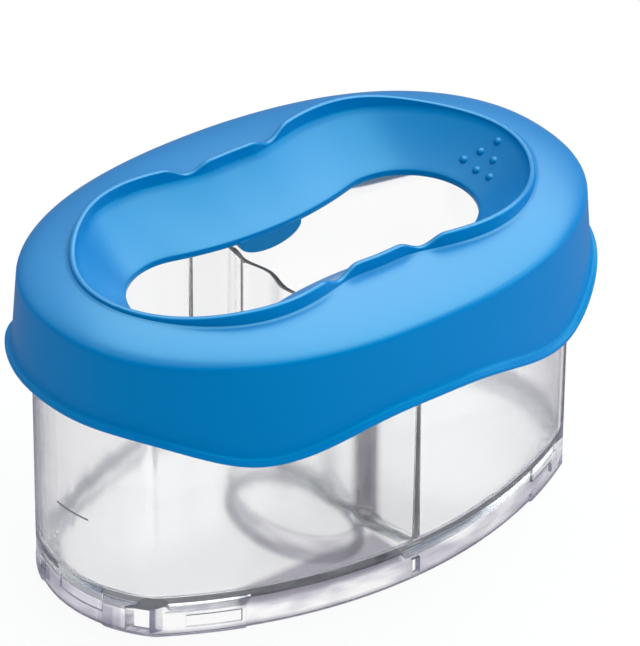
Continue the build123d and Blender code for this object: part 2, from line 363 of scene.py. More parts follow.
print("skirt's edge lowest at", EDGE_DIP, "mm, rim up to", rim_level(RIM_SIDE_X), "mm")

# %% [markdown]
# ## The lid's skin, ring by ring
#
# One way to get this shell is a stack of booleans, but each cut leaves long thin faces that
# shade badly.  Here the cross-section is walked once round instead: it starts at the flange,
# climbs the skirt, crosses the slope to the rim, drops down the funnel to the mouth and comes
# back underneath.  The walk ends where it began, so the shell closes on itself.

# %% Rings on the skirt and the slope
SHOULDER, RIM_BASE, RIM_WALL, SHELL = 66.0, 70.6, 1.3, 1.3
SKIRT, SHOULDER_OVAL = (63.3, 43.4), (62.5, 42.7)          # half sizes of the skirt's foot and top
WALL_START = 4.0                           # above the skirt's edge; the flange ends below it


def flat_ring(outline, grow, height):
    """A level ring, grow outside an outline."""
    def ring(t):
        x, y = outline(t, grow)
        return x, y, height
    return ring


def blend_points(a, b, share):
    return a[0] + share * (b[0] - a[0]), a[1] + share * (b[1] - a[1])


def skirt_ring(grow, lift):
    """A ring that follows the scalloped edge, grow outside the skirt and lift above the edge."""
    def ring(t):
        x, y = oval(t, SKIRT[0] + grow, SKIRT[1] + grow)
        return x, y, edge_level(x) + lift
    return ring


def wall_ring(share, inset=0.0):
    """A ring part of the way up from the flange to the shoulder."""
    def ring(t):
        length, width = blend_points(SKIRT, SHOULDER_OVAL, share)
        x, y = oval(t, length - inset, width - inset)
        low = edge_level(x) + WALL_START
        return x, y, low + (SHOULDER - inset - low) * share
    return ring


def slope_level(out):
    """Height of the slope, a share of the way out to the shoulder: straight, then rounded over."""
    return RIM_BASE - (RIM_BASE - SHOULDER) * (0.35 * out + 0.65 * (1 - (1 - out ** 2.5) ** 0.4))


def slope_ring(out, inset=0.0):
    """A ring on the slope between the rim and the shoulder."""
    def ring(t):
        outer = oval(t, SHOULDER_OVAL[0] - inset, SHOULDER_OVAL[1] - inset)
        x, y = blend_points(rim(t, RIM_WALL + inset), outer, out)
        return x, y, slope_level(out) - inset
    return ring


print("slope falls", round(RIM_BASE - SHOULDER, 1), "mm from the rim to the shoulder")

# %% [markdown]
# The rim is a thin upright wall, the funnel slopes from it to the mouth, and under the slope a
# flat seat and a collar centre the lid on the tank's rim.

# %% Rings on the rim, the funnel and the seat
FUNNEL_TOP, FUNNEL_END, FUNNEL_WALL = 70.7, 61.8, 1.3
UNDER_FUNNEL = FUNNEL_END - FUNNEL_WALL
SEAT, COLLAR_FOOT, COLLAR_INNER, COLLAR_OUTER, SEAT_EDGE = 62.25, 58.0, 3.2, 2.0, 0.2


def rim_ring(grow, lift):
    """A ring on the rim's wall, lift above or below its wavy top."""
    def ring(t):
        x, y = rim(t, grow)
        return x, y, rim_level(x) + lift
    return ring


def funnel_level(inwards):
    """Height of the funnel, steeper near the rim."""
    return FUNNEL_TOP - (FUNNEL_TOP - FUNNEL_END) * (1.25 * inwards - 0.25 * inwards ** 2)


def funnel_ring(inwards, thickness=0.0):
    """A ring on the funnel, part of the way from the rim to the mouth."""
    def ring(t):
        x, y = blend_points(rim(t, thickness), mouth(t, thickness), inwards)
        return x, y, funnel_level(inwards) - thickness
    return ring


def under_ring(shrink):
    """A ring where the seat's outline meets the underside of the slope."""
    def ring(t):
        x, y = barrel(t, shrink)
        inner, outer = rim(t, RIM_WALL), oval(t, *SHOULDER_OVAL)
        out = (hypot(x, y) - hypot(*inner)) / (hypot(*outer) - hypot(*inner))
        return x, y, slope_level(max(0.0, min(out, 0.97))) - SHELL
    return ring


print("funnel falls", round(FUNNEL_TOP - FUNNEL_END, 1), "mm to the mouth")

# %% [markdown]
# Now the walk itself.  Where the surface turns, rings stand close together, so that smooth
# shading bends only there and leaves the long faces flat.

# %% The walk round the cross-section
FLANGE = ((0.0, 0.0), (1.2, 0.0), (1.42, 0.08), (1.5, 0.3), (1.5, 0.8), (1.44, 0.98), (1.3, 1.07), (1.08, 1.1),
          (0.82, 1.15), (0.58, 1.3), (0.38, 1.55), (0.2, 1.95), (0.08, 2.5), (0.02, 3.2))
rings = [skirt_ring(*p) for p in FLANGE]
rings += [wall_ring(share) for share in (0.0, 0.2, 0.4, 0.6, 0.8, 0.9)]
rings += [slope_ring(out) for out in (1.0, 0.997, 0.985, 0.965, 0.94, 0.905, 0.86, 0.8, 0.72, 0.62, 0.5, 0.38,
                                      0.26, 0.16, 0.09, 0.05)]
rings += [flat_ring(rim, RIM_WALL + grow, RIM_BASE + lift)
          for grow, lift in ((0.35, 0.03), (0.1, 0.12), (0.0, 0.35))]
rings += [rim_ring(*p) for p in ((RIM_WALL, -0.45), (RIM_WALL - 0.12, -0.15), (RIM_WALL - 0.4, 0.0),
                                 (0.4, 0.0), (0.12, -0.15), (0.0, -0.45))]
rings += [flat_ring(rim, 0.0, FUNNEL_TOP + 0.25), flat_ring(rim, -0.15, FUNNEL_TOP + 0.02)]
rings += [funnel_ring(share) for share in (0.03, 0.1, 0.2, 0.3, 0.4, 0.5, 0.6, 0.7, 0.8, 0.9, 0.97)]
rings += [flat_ring(mouth, *p) for p in ((0.1, FUNNEL_END + 0.02), (0.0, FUNNEL_END - 0.15),
                                         (0.0, UNDER_FUNNEL + 0.1), (0.1, UNDER_FUNNEL), (1.5, UNDER_FUNNEL))]
rings += [funnel_ring(share, FUNNEL_WALL) for share in (0.8, 0.6, 0.4, 0.2)]
rings += [flat_ring(rim, RIM_WALL, FUNNEL_TOP - 1.5), slope_ring(0.02, SHELL)]
rings += [under_ring(COLLAR_INNER)]
rings += [flat_ring(barrel, *p) for p in ((COLLAR_INNER, COLLAR_FOOT), (COLLAR_OUTER, COLLAR_FOOT),
                                          (COLLAR_OUTER, SEAT), (SEAT_EDGE, SEAT))]
rings += [under_ring(SEAT_EDGE)]
rings += [slope_ring(out, SHELL) for out in (0.965, 0.99, 1.0)]
rings += [wall_ring(share, SHELL) for share in (0.6, 0.3, 0.0)]
rings += [skirt_ring(-SHELL, 0.2), skirt_ring(-SHELL + 0.2, 0.0)]
print(len(rings), "rings of", SPOKES, "points")

# %% [markdown]
# By hand one would extrude a circle, scale it, and go on.  The function below does the same: it
# extrudes the selected ring of edges and then moves each point to its place in the next section.
# An extrusion mixes up the order of points, so each carries its number in a layer of the mesh.

# %% Extrude the skin


def deselect_everything():
    for thing in bpy.data.objects:
        thing.select_set(False)


def pick(piece):
    """Makes one piece the active one and the only one selected."""
    deselect_everything()
    bpy.context.view_layer.objects.active = piece
    piece.select_set(True)


def open_mesh():
    """Goes into edit mode with everything selected."""
    bpy.ops.object.mode_set(mode="EDIT")
    bpy.ops.mesh.select_all(action="SELECT")


def put_section(mesh, section):
    """Moves the selected points onto a section, each to the place with its own number."""
    bm = bmesh.from_edit_mesh(mesh)
    number = bm.verts.layers.int["number"]
    for vert in bm.verts:
        if vert.select:
            vert.co = Vector(section[vert[number]]) * MM
    bmesh.update_edit_mesh(mesh)


def extruded_skin(name, sections, closed):
    """A skin through a walk of sections: closed on itself like a ring, or with two end faces."""
    deselect_everything()
    count = len(sections[0])
    bpy.ops.mesh.primitive_circle_add(vertices=count, radius=0.05, fill_type="NOTHING" if closed else "NGON")
    skin = bpy.context.object
    skin.name = name
    mesh = skin.data
    bpy.ops.object.mode_set(mode="EDIT")
    bm = bmesh.from_edit_mesh(mesh)
    number = bm.verts.layers.int.new("number")
    for vert in bm.verts:
        vert[number] = round(atan2(vert.co.y, vert.co.x) / (2 * pi) * count) % count
    bmesh.update_edit_mesh(mesh)
    bpy.ops.mesh.select_mode(type="EDGE" if closed else "FACE")
    bpy.ops.mesh.select_all(action="SELECT")
    put_section(mesh, sections[0])
    for section in sections[1:] + (sections[:1] if closed else []):
        bpy.ops.mesh.extrude_region_move()
        put_section(mesh, section)
    bpy.ops.mesh.select_all(action="SELECT")
    bpy.ops.mesh.remove_doubles(threshold=1e-7)
    bpy.ops.mesh.normals_make_consistent(inside=False)
    bpy.ops.object.mode_set(mode="OBJECT")
    bpy.ops.object.shade_smooth_by_angle(angle=radians(40))
    return skin


lid_shell = extruded_skin("lid_shell", [[ring(t) for t in angles] for ring in rings], closed=True)
print("lid shell", len(lid_shell.data.polygons), "faces")

# %% [markdown]
# ## Small features of the lid
#
# A half-round tongue hangs from each side of the mouth's waist.  It could be a cylinder cut in
# half; here it starts as a flat circle, because only one face then has to be cut, squeezed and
# thickened.  The bevel's hardened normals keep the flat faces flat.

# %% The tongues
TONGUE_HALF_WIDTH, TONGUE_DEPTH, TONGUE_THICKNESS, TONGUE_Y = 7.8, 5.0, 1.3, MOUTH_WAIST + 0.75
TONGUE_ROOT = 0.15                         # how much of the circle's upper half stays, as a share

deselect_everything()
bpy.ops.mesh.primitive_circle_add(vertices=96, radius=1, fill_type="NGON", rotation=(pi / 2, 0, 0))
tongue_front = bpy.context.object
tongue_front.name = "tongue_front"
bpy.ops.object.transform_apply(location=False, rotation=True, scale=False)
open_mesh()
bpy.ops.mesh.bisect(plane_co=(0, 0, TONGUE_ROOT), plane_no=(0, 0, 1), clear_outer=True, use_fill=False)
bpy.ops.mesh.select_all(action="SELECT")
bpy.ops.transform.resize(value=(TONGUE_HALF_WIDTH * MM, 1, (TONGUE_DEPTH - FUNNEL_WALL) * MM),
                         center_override=(0, 0, 0))
bpy.ops.mesh.extrude_region_move(TRANSFORM_OT_translate={"value": (0, TONGUE_THICKNESS * MM, 0)})
bpy.ops.mesh.select_all(action="SELECT")
bpy.ops.mesh.normals_make_consistent(inside=False)
bpy.ops.transform.translate(value=(0, -(TONGUE_Y + TONGUE_THICKNESS / 2) * MM, UNDER_FUNNEL * MM))
bpy.ops.object.mode_set(mode="OBJECT")
bpy.ops.object.shade_smooth_by_angle(angle=radians(40))
bevel = tongue_front.modifiers.new("soft_edges", "BEVEL")
bevel.width, bevel.segments, bevel.limit_method, bevel.angle_limit = 0.25 * MM, 3, "ANGLE", radians(50)
bevel.harden_normals = True
bpy.ops.object.modifier_apply(modifier=bevel.name)


def copied(piece, name):
    """A copy with its own mesh, picked for the next operator."""
    twin = piece.copy()
    twin.data = piece.data.copy()
    twin.name = name
    bpy.context.collection.objects.link(twin)
    pick(twin)
    return twin


tongue_back = copied(tongue_front, "tongue_back")
open_mesh()
bpy.ops.transform.translate(value=(0, 2 * TONGUE_Y * MM, 0))
bpy.ops.object.mode_set(mode="OBJECT")
tongues = [tongue_front, tongue_back]
print(len(tongues), "tongues,", 2 * TONGUE_HALF_WIDTH, "mm wide")

# %% [markdown]
# Six round nubs near one end of the funnel roughen it, so that a wet brush can be wiped there.
# A nub is the upper part of a small sphere.  It has to stand upright on the funnel's slope, so
# the slope's direction is measured first, from the heights around the nub's place.

# %% The nubs
NUB_RADIUS, NUB_RISE, NUB_FIRST_X, NUB_STEP_X, NUB_STEP_Y = 1.05, 0.6, 44.2, 2.7, 4.2
NUB_ROOT = 0.1                             # how far below its middle the sphere is cut


def funnel_place(x, y):
    """Height and upward direction of the funnel's surface at a place near its +X end."""
    def level(px, py):
        bend = RIM_LENGTH + 4 * RIM_STRETCH + 36 * RIM_FULLNESS + 64 * RIM_FLATNESS
        high = RIM_LENGTH - py ** 2 * bend / (2 * RIM_LENGTH ** 2)
        low = MOUTH_LENGTH - MOUTH_LOBE + sqrt(MOUTH_LOBE ** 2 - py ** 2)
        return funnel_level((high - px) / (high - low))
    step = 0.05
    fall_x, fall_y = level(x - step, y) - level(x + step, y), level(x, y - step) - level(x, y + step)
    return Vector((x, y, level(x, y))), Vector((fall_x, fall_y, 2 * step)).normalized()


deselect_everything()
bpy.ops.mesh.primitive_uv_sphere_add(segments=32, ring_count=20, radius=NUB_RADIUS * MM)
first_nub = bpy.context.object
open_mesh()
bpy.ops.mesh.bisect(plane_co=(0, 0, -NUB_ROOT * MM), plane_no=(0, 0, 1), clear_inner=True, use_fill=True)
bpy.ops.object.mode_set(mode="OBJECT")
bpy.ops.object.shade_smooth_by_angle(angle=radians(40))


def nub(name, x, y):
    """A copy of the first nub, turned to stand upright on the funnel's slope."""
    place, normal = funnel_place(x, y)
    dome = copied(first_nub, name)
    open_mesh()
    tilt = normal.angle(Vector((0, 0, 1)))
    bpy.ops.transform.rotate(value=-tilt, orient_axis="Y", center_override=(0, 0, 0))
    bpy.ops.transform.rotate(value=-atan2(normal.y, normal.x), orient_axis="Z", center_override=(0, 0, 0))
    bpy.ops.transform.translate(value=(place + normal * (NUB_RISE - NUB_RADIUS)) * MM)
    bpy.ops.object.mode_set(mode="OBJECT")
    middle = sum((v.co for v in dome.data.vertices), Vector()) / len(dome.data.vertices) / MM
    print(name, "stands", round((middle - place).cross(normal).length, 2), "mm aside")
    return dome


nubs = [nub(f"nub_{row}_{i}", NUB_FIRST_X + row * NUB_STEP_X, (i - (2 - row) / 2) * NUB_STEP_Y)
        for row in range(3) for i in range(3 - row)]
bpy.data.objects.remove(first_nub)
print(len(nubs), "nubs")

# %% [markdown]
# The pieces of the lid ride on the lid's body, so that they rise with it.  The skin replaces
# the solid that it was modelled over.

# %% Everything of the lid rides on the lid
for piece in [lid_shell] + tongues + nubs:
    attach(piece, "lid")
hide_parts("lid")
print(len(tongues + nubs) + 1, "pieces on the lid")

# %% [markdown]
# ## The divider
#
# The divider is a thin wall that waves from side to side on its way across the tank, so that it
# stays stiff.  Where the wave meets the two straight legs the wall is thicker, and a small round
# fillet runs along its foot.  One upright section is written once and swept along the wave.

# %% The divider's wave
RIB_FRONT, RIB_BACK, RIB_LENGTH, RIB_RISE = -22.6, 23.8, 6.0, 1.4
WAVE = [(-33.5, 3.0), (RIB_FRONT, 0.4), (-16.8, 0.9), (-11.2, -0.4), (-5.0, 0.7), (0.0, 0.0),
        (5.0, -0.7), (11.4, 0.4), (17.85, -0.9), (RIB_BACK, -0.4), (33.5, -3.0)]    # (y, x)


def wave_x(y):
    """Where the wall is at a place y along it: two straight legs, and a smooth curve between them."""
    last = len(WAVE) - 2
    i = max(0, min(last, sum(1 for point in WAVE[1:-1] if point[0] <= y)))
    (y0, x0), (y1, x1) = WAVE[i], WAVE[i + 1]
    run = y1 - y0
    s = (y - y0) / run
    if i in (0, last):
        return x0 + (x1 - x0) * s
    slope0 = (x1 - WAVE[i - 1][1]) / (y1 - WAVE[i - 1][0])
    slope1 = (WAVE[i + 2][1] - x0) / (WAVE[i + 2][0] - y0)
    return ((1 + 2 * s) * (1 - s) ** 2 * x0 + s * (1 - s) ** 2 * run * slope0
            + s ** 2 * (3 - 2 * s) * x1 + s ** 2 * (s - 1) * run * slope1)


def swell(y):
    """Extra half thickness where the wave meets a leg."""
    inwards, most = (y - RIB_FRONT, 1.3) if y < 0 else (RIB_BACK - y, 0.3)
    return most * ease(inwards, -0.3, RIB_RISE) * (1 - ease(inwards, RIB_RISE, RIB_LENGTH))


print("divider swells", round(2 * swell(RIB_FRONT + RIB_RISE), 1), "mm at its front rib")

# %% [markdown]
# The section stands on the floor with a small fillet, tapers upwards so that it leaves the
# mould, and ends in a rounded top.  Its right half is written down as pairs of a height and a
# half thickness, and the left half mirrors it.

# %% Sweep the divider
FLOOR_TOP, STATIONS = 8.2, 180
DIVIDER_REACH, DIVIDER_SPREAD = 33.2, 0.5 / 62             # half length at the table, and per mm of height
DIVIDER_PROFILE = [(-0.1, 2.2), (0.15, 1.75), (0.5, 1.35), (1.0, 1.05), (1.7, 0.88), (2.6, 0.82), (3.2, 0.81),
                   (12.0, 0.73), (22.0, 0.64), (32.0, 0.55), (41.6, 0.46), (42.3, 0.45), (42.5, 0.38),
                   (42.6, 0.25)]


def divider_section(share):
    """The upright section at a share, from -1 to 1, of the way across the tank."""
    section = []
    for lift, half in DIVIDER_PROFILE:
        z = FLOOR_TOP + lift
        y = share * (DIVIDER_REACH + DIVIDER_SPREAD * z)
        section.append((half + swell(y), y, z))
    right = [(wave_x(y) + out, y, z) for out, y, z in section]
    left = [(wave_x(y) - out, y, z) for out, y, z in reversed(section)]
    return right + left


shares = [-1 + 2 * i / STATIONS for i in range(STATIONS + 1)]
divider_wall = extruded_skin("divider_wall", [divider_section(share) for share in shares], closed=False)
print("divider", len(divider_wall.data.polygons), "faces")

# %% [markdown]
# ## The tank
#
# The tank is swept like the lid, but as one sheet: from the middle of the floor outwards, up the
# inside, over the rim, down the outside, under the foot and back to the middle underneath.
# Every long wall gets extra rows near its ends, because smooth shading would otherwise bend
# light over the whole wall, like a lens.
#
# The foot stands back a little from the wall, but for a thick block at each corner.  Where a
# block starts or the outline has a corner, two spokes stand close together, so that the edge
# stays crisp; the other spokes are the lid's.

# %% The tank's spokes
BLOCK_X_LEFT, BLOCK_X_RIGHT, BLOCK_Y = 36.3, 39.3, 10.5    # where the foot's thick corner blocks start
FOLD_STEP, FOLD_CLEAR = 0.0015, 0.004      # radians between the close spokes, and to the next one


def turn_at(axis, distance):
    """The direction in the first quarter where the outline is so far along X (0) or Y (1)."""
    low, high = 0.0, pi / 2
    for _ in range(40):
        middle = (low + high) / 2
        beyond = barrel(middle)[0] > distance if axis == 0 else barrel(middle)[1] < distance
        low, high = (middle, high) if beyond else (low, middle)
    return low


def block_start(x, y):
    """The blocks are the same after half a turn, not mirrored."""
    return BLOCK_X_LEFT if x * y > 0 else BLOCK_X_RIGHT


def corner_spokes():
    """The spokes of the lid, with close pairs where the tank's corners and foot blocks turn."""
    corner, end = atan2(CORNER_Y, CORNER_X), turn_at(1, BLOCK_Y)
    near, far = turn_at(0, BLOCK_X_LEFT), turn_at(0, BLOCK_X_RIGHT)
    folds = [near, pi - far, pi + near, 2 * pi - far]
    for fold in (corner, end):
        folds += [fold, pi - fold, pi + fold, 2 * pi - fold]
    turns = [fold + step for fold in folds for step in (-FOLD_STEP, FOLD_STEP)]
    kept = [t for t in angles if min(abs(t - turn) for turn in turns) > FOLD_CLEAR]
    return sorted(kept + turns)


tank_angles = corner_spokes()
print(len(tank_angles), "spokes")

# %% [markdown]
# Three kinds of section make the tank: a level one for the wall, one for the foot with its
# corner blocks, and one that slopes.  The floor's edge underneath is cut back there, because a
# square joint of clear plastic mirrors the dark room and turns black.

# %% Sections of the tank
TANK_HEIGHT, WALL, DRAFT, FOOT_TOP, UNDER_FLOOR = 62.0, 1.6, 0.5, 8.0, 6.4
FOOT_INSET, BLOCK_INSET, END_LEAN = 0.5, 0.03, 0.016
SLOPE_WIDE, SLOPE_NARROW, SLOPE_FALL = 2.6, 0.12, 0.62


def foot_inset(t):
    """How far the foot stands back from the wall: almost nothing at the corner blocks."""
    x, y = barrel(t)
    return BLOCK_INSET if abs(x) > block_start(x, y) and abs(y) > BLOCK_Y else FOOT_INSET


def drafted(x, z):
    """The tank's ends lean in a little towards the foot."""
    return x * (1 - END_LEAN * min(1.0, (TANK_HEIGHT - z) / (TANK_HEIGHT - FOOT_TOP)))


def level_section(shrink, height, scale=1.0):
    """A section round the tank at one height, shrink inside the wall's outside."""
    flat = [barrel(t, shrink) for t in tank_angles]
    return [(scale * drafted(x, height), scale * y, height) for x, y in flat]


def foot_section(shrink, height):
    """A section round the foot at one height."""
    flat = [barrel(t, foot_inset(t) + shrink) for t in tank_angles]
    return [(drafted(x, height), y, height) for x, y in flat]


def slope_width(t):
    """The front's left and the back's right half have almost no slope under the floor's edge."""
    x, y = barrel(t)
    return SLOPE_NARROW if -36.5 < (x if y < 0 else -x) < -0.5 else SLOPE_WIDE


def under_section(share, lower=0.0, further=0.0):
    """The slope under the floor's edge, from the foot's inner face (0) to the floor (1)."""
    section = []
    for t in tank_angles:
        width = slope_width(t)
        x, y = barrel(t, FOOT_INSET + WALL + share * width + further)
        z = UNDER_FLOOR - SLOPE_FALL * width * (1 - share) - lower
        section.append((drafted(x, z), y, z))
    return section


print("floor", round(FLOOR_TOP - UNDER_FLOOR, 1), "mm thick")

# %% [markdown]
# The walk starts and ends in a tiny ring in the middle of the floor, which a face closes.

# %% Sweep the tank
FLOOR_ROUNDING = 1.2
inside = WALL + DRAFT
sheet = [level_section(inside + FLOOR_ROUNDING, FLOOR_TOP, scale) for scale in (0.03, 0.4, 0.8, 0.98, 1.0)]
sheet += [level_section(inside + FLOOR_ROUNDING * (1 - sin(a)), FLOOR_TOP + FLOOR_ROUNDING * (1 - cos(a)))
          for a in (radians(15), radians(30), radians(45), radians(60), radians(75), radians(90))]
sheet += [level_section(inside - DRAFT * (z - FLOOR_TOP) / (TANK_HEIGHT - FLOOR_TOP), z)
          for z in (9.8, 18, 28, 38, 48, 58, 61.2, 61.75)]
sheet += [level_section(*p) for p in ((WALL - 0.12, 61.95), (WALL - 0.3, 62), (0.3, 62), (0.12, 61.95))]
sheet += [level_section(0, z) for z in (61.75, 61.2, 52, 42, 32, 22, 14, 9.0, 8.15)]
sheet += [level_section(0.04, 8.02)]
sheet += [foot_section(0, z) for z in (FOOT_TOP, 7.85, 7.2, 4, 0.9, 0.35)]
sheet += [foot_section(0.1, 0.1), foot_section(0.3, 0.0)]
sheet += [level_section(FOOT_INSET + WALL - shrink, z)
          for shrink, z in ((0.3, 0.0), (0.1, 0.1), (0, 0.35), (0, 0.9), (0, 2.8))]
sheet += [under_section(0, 0.4), under_section(0, 0.1), under_section(0.03), under_section(0.5),
          under_section(0.97), under_section(1, further=0.15)]
sheet += [level_section(FOOT_INSET + WALL + 4.6, UNDER_FLOOR, scale) for scale in (0.98, 0.8, 0.4, 0.03)]
tank_wall = extruded_skin("tank_wall", sheet, closed=False)
print("tank", len(tank_wall.data.polygons), "faces before cutting")

# %% [markdown]
# The foot is pierced and dented: an upright slot beside each corner, a drain hole under each end
# of the divider, a sunk window on each end and four sunk panels on the long sides.  Each is a
# cutter, made as a plain block or as a short stretch of the tank's own outline, and a boolean
# takes it out.  A stretch follows the wall's curve, so a sunk window is equally deep all over.

# %% The makers of cutters
STRETCH_STEPS = 12


def stretch(name, start, end, inner, outer, low, high):
    """A curved bar along the tank's outline between two places (x, y)."""
    from_angle = atan2(start[1], start[0])
    turn = (atan2(end[1], end[0]) - from_angle + pi) % (2 * pi) - pi
    sections = []
    for i in range(STRETCH_STEPS + 1):
        t = from_angle + turn * i / STRETCH_STEPS
        section = []
        for shrink, z in ((inner, low), (outer, low), (outer, high), (inner, high)):
            x, y = barrel(t, shrink)
            section.append((drafted(x, z), y, z))
        sections.append(section)
    return extruded_skin(name, sections, closed=False)


def box(name, middle, size):
    """A plain block."""
    deselect_everything()
    bpy.ops.mesh.primitive_cube_add(size=1)
    block = bpy.context.object
    block.name = name
    open_mesh()
    bpy.ops.transform.resize(value=[v * MM for v in size], center_override=(0, 0, 0))
    bpy.ops.transform.translate(value=[v * MM for v in middle])
    bpy.ops.object.mode_set(mode="OBJECT")
    return block


def cut(target, tool):
    """Takes the tool's shape out of the target and throws the tool away."""
    pick(target)
    difference = target.modifiers.new("cut", "BOOLEAN")
    difference.operation, difference.solver, difference.object = "DIFFERENCE", "EXACT", tool
    bpy.ops.object.modifier_apply(modifier=difference.name)
    bpy.data.objects.remove(tool)


print("cutters in", STRETCH_STEPS, "steps")

# %% [markdown]
# The tank is the same after half a turn, so one loop over its ends makes all the cuts.  A cutter
# reaches past the wall's outside: two faces in one place would confuse the boolean.

# %% Cut the foot
PAST = -1.0                                # how far inside the outline a cutter's outer face is: outside it
END_X, CORNER_SLOT, SLOT_SIZE = 60, (53.1, 16.9, 3.6), (10, 4.2, 5.6)
DRAIN_AT, DRAIN_SIZE = (-2.8, 33.5, 2.6), (2, 8, 4)
PANEL_FROM, PANEL_TO, PANEL_DEPTH = (36.9, 27.6), (47.6, 22.9), 0.6
WINDOW_FROM, WINDOW_TO, WINDOW_DEPTH = -2.3, 10.1, 1.0

for end in (-1, 1):
    cut(tank_wall, stretch("window", (END_X * end, WINDOW_FROM * end), (END_X * end, WINDOW_TO * end),
                           WINDOW_DEPTH, PAST, 3.2, 9.2))
    for side in (-1, 1):
        x, y, z = CORNER_SLOT
        cut(tank_wall, box("slot", (x * end, y * side, z), SLOT_SIZE))
        panel_from, panel_to = [(x * end, y * side) for x, y in (PANEL_FROM, PANEL_TO)]
        cut(tank_wall, stretch("panel", panel_from, panel_to, PANEL_DEPTH, PAST, 2.0, 4.8))
    x, y, z = DRAIN_AT
    cut(tank_wall, box("drain", (x * end, y * end, z), DRAIN_SIZE))
pick(tank_wall)
bpy.ops.object.shade_smooth_by_angle(angle=radians(30))
print("tank", len(tank_wall.data.polygons), "faces")

# %% [markdown]
# A thin raised line on each end says how far to fill the tank.  It is a stretch of the outline
# too, and stays a piece of its own so that its plastic can be painted dark: painted shade for the
# dark line that the raised edge shows.

# %% The fill marks
MARK_FROM, MARK_TO, MARK_LOW, MARK_HIGH = -1.7, 7.3, 24.4, 24.7
MARK_SUNK, MARK_PROUD = -0.02, -0.2        # its inner and outer face, inside the outline

fill_marks = [stretch(name, (END_X * end, MARK_FROM * end), (END_X * end, MARK_TO * end),
                      MARK_SUNK, MARK_PROUD, MARK_LOW, MARK_HIGH)
              for name, end in (("fill_mark_left", -1), ("fill_mark_right", 1))]
print(len(fill_marks), "fill marks,", MARK_TO - MARK_FROM, "mm long")

# %% [markdown]
# Under the floor hangs an oblong ring.  It keeps the middle of the floor, where the plastic
# enters the mould, clear of the table.  It is a round bead swept along an oval, and a thin web
# holds it under the floor.  Its plastic is painted dark almost all over, so that it shows through
# the front wall as a soft dark loop: painted shade, standing in for a loop of shade there.

# %% The ring under the floor
RING_MIDDLE, RING_HALF_WIDTH, RING_HALF_LENGTH, BEAD, WEB = (-5.4, -4.4), 10.4, 16.7, 1.0, 0.15
WEB_FOOT, WEB_TOP, OFF_TABLE, BEAD_STEPS = 1.9 * BEAD, UNDER_FLOOR + 0.1, 1.01, 20


def ring_loop(grow, height):
    """A level oval under the floor, longer across the tank than along it."""
    x, y = RING_MIDDLE
    return [(x + (RING_HALF_WIDTH + grow) * cos(t), y + (RING_HALF_LENGTH + grow) * sin(t), height)
            for t in angles[::3]]


steps = [2 * pi * i / BEAD_STEPS for i in range(BEAD_STEPS)]
bead_loops = [ring_loop(BEAD * cos(a), BEAD * (OFF_TABLE - sin(a))) for a in steps]
web_corners = ((WEB, WEB_TOP), (WEB, WEB_FOOT), (-WEB, WEB_FOOT), (-WEB, WEB_TOP))
ring_bead = extruded_skin("ring_bead", bead_loops, closed=True)
ring_web = extruded_skin("ring_web", [ring_loop(*corner) for corner in web_corners], closed=True)
for ring in (ring_bead, ring_web):
    pick(ring)
    bpy.ops.object.shade_smooth_by_angle(angle=radians(50))
print("ring", 2 * RING_HALF_WIDTH, "x", 2 * RING_HALF_LENGTH, "mm")

# %% [markdown]
# All of the clear pieces ride on the tank's body and stay when the lid lifts.

# %% Everything clear rides on the tank
for piece in [tank_wall, ring_bead, ring_web, divider_wall] + fill_marks:
    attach(piece, "tank")
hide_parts("tank")
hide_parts("divider")
print(4 + len(fill_marks), "pieces on the tank")

# %% [markdown]
# ## Blue moulded plastic
#
# The lid is polypropylene or a similar plastic: coloured all through, satin rather than glossy,
# with a very fine texture from the mould.  Both plastics have it, so it is a node group with its
# own inputs: a fine grain for the bump, and a cloud that lets the roughness wander a little.

# %% The mould texture, shared by both plastics
mould = bpy.data.node_groups.new("mould_texture", "ShaderNodeTree")
for name, way in (("Grain Size", "INPUT"), ("Roughness", "INPUT"), ("Wander", "INPUT"),
                  ("Roughness", "OUTPUT"), ("Height", "OUTPUT")):
    mould.interface.new_socket(name, in_out=way, socket_type="NodeSocketFloat")
entry = mould.nodes.new("NodeGroupInput").outputs
where = add_node(mould, "TexCoord").outputs["Object"]
cloud = reckon(mould, "SUBTRACT", noise(mould, where, 60, 2), 0.5)
feed(mould, mould.nodes.new("NodeGroupOutput"), {
    "Roughness": reckon(mould, "MULTIPLY_ADD", cloud, entry["Wander"], entry["Roughness"]),
    "Height": noise(mould, where, entry["Grain Size"], 3)})


def textured_plastic(name, grain_size, roughness, wander, bump, bump_height):
    """A material's tree with a Principled shader, whose roughness and bump come from the mould."""
    tree, material = new_tree(name)
    texture = add_node(tree, "Group", {}, node_tree=mould)
    feed(tree, texture, {"Grain Size": grain_size, "Roughness": roughness, "Wander": wander})
    relief = add_node(tree, "Bump", {"Strength": bump, "Distance": bump_height,
                                     "Height": texture.outputs["Height"]})
    shader = add_node(tree, "BsdfPrincipled", {"Roughness": texture.outputs["Roughness"],
                                               "Normal": relief.outputs["Normal"]})
    return tree, material, shader


print("mould texture with", len(mould.nodes), "nodes")

# %% [markdown]
# The lid's top faces shine white, as if they had a thin coat, and its steep sides stay a deep
# blue.  So the coat's weight is masked: only faces that look up, above the flange, have it.  The
# plain gloss is tinted like the plastic.

